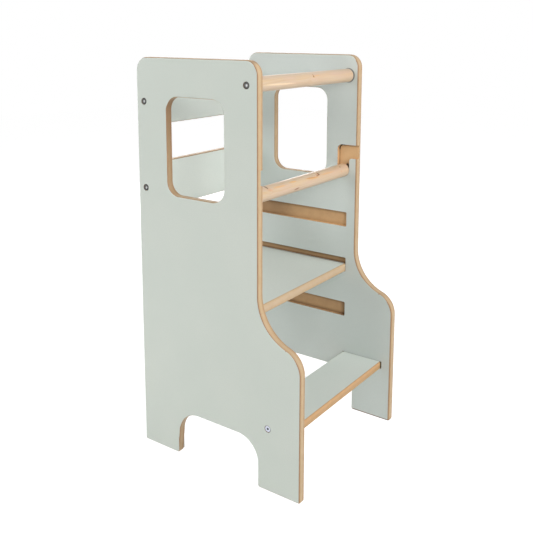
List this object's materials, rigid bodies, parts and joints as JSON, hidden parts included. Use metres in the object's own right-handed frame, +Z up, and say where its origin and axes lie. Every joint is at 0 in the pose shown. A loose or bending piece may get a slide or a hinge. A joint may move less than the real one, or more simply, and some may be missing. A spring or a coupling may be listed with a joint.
{
  "type": "toddler kitchen helper stool",
  "caption": "Tall open tower stool for a toddler, with side panels, a front step, a platform at adjustable height, a top rail and a lift-out safety bar.",
  "frame": {"origin": "on the floor, at the middle of the width and of the depth of the feet", "axes": "+Z up, +X across to the right panel, +Y to the back with the slats; the step side faces -Y"},
  "size_m": [0.424, 0.435, 0.9],
  "materials": {
    "sage_laminate": "smooth matt melamine laminate, pale sage green",
    "board_core": "clear-lacquered wood fibre board edge, rounded over",
    "pine": "clear-lacquered pine dowel",
    "zinc_steel": "zinc-plated, satin"
  },
  "bodies": {
    "frame": {"left_panel_core": "board_core", "left_panel_outer_laminate": "sage_laminate", "left_panel_inner_laminate": "sage_laminate", "right_panel_core": "board_core", "right_panel_outer_laminate": "sage_laminate", "right_panel_inner_laminate": "sage_laminate", "upper_slat_core": "board_core", "upper_slat_front_laminate": "sage_laminate", "upper_slat_back_laminate": "sage_laminate", "lower_slat_core": "board_core", "lower_slat_front_laminate": "sage_laminate", "lower_slat_back_laminate": "sage_laminate", "step_core": "board_core", "step_top_laminate": "sage_laminate", "step_bottom_laminate": "sage_laminate", "top_rail": "pine", "left_top_rail_screw": "zinc_steel", "left_upper_slat_screw": "zinc_steel", "left_lower_slat_screw": "zinc_steel", "left_step_screw": "zinc_steel", "right_top_rail_screw": "zinc_steel", "right_upper_slat_screw": "zinc_steel", "right_lower_slat_screw": "zinc_steel", "right_step_screw": "zinc_steel"},
    "platform": {"platform_core": "board_core", "platform_top_laminate": "sage_laminate", "platform_bottom_laminate": "sage_laminate"},
    "safety_bar": {"safety_bar": "pine"}
  },
  "joints": [
    {"name": "safety_bar_lift", "type": "slide", "parent": "frame", "child": "safety_bar", "axis": [0, 0, 1], "range_m": [0, 0.0461]},
    {"name": "platform_lift", "type": "slide", "parent": "frame", "child": "platform", "axis": [0, 0, 1], "range_m": [0, 0.015]}
  ]
}
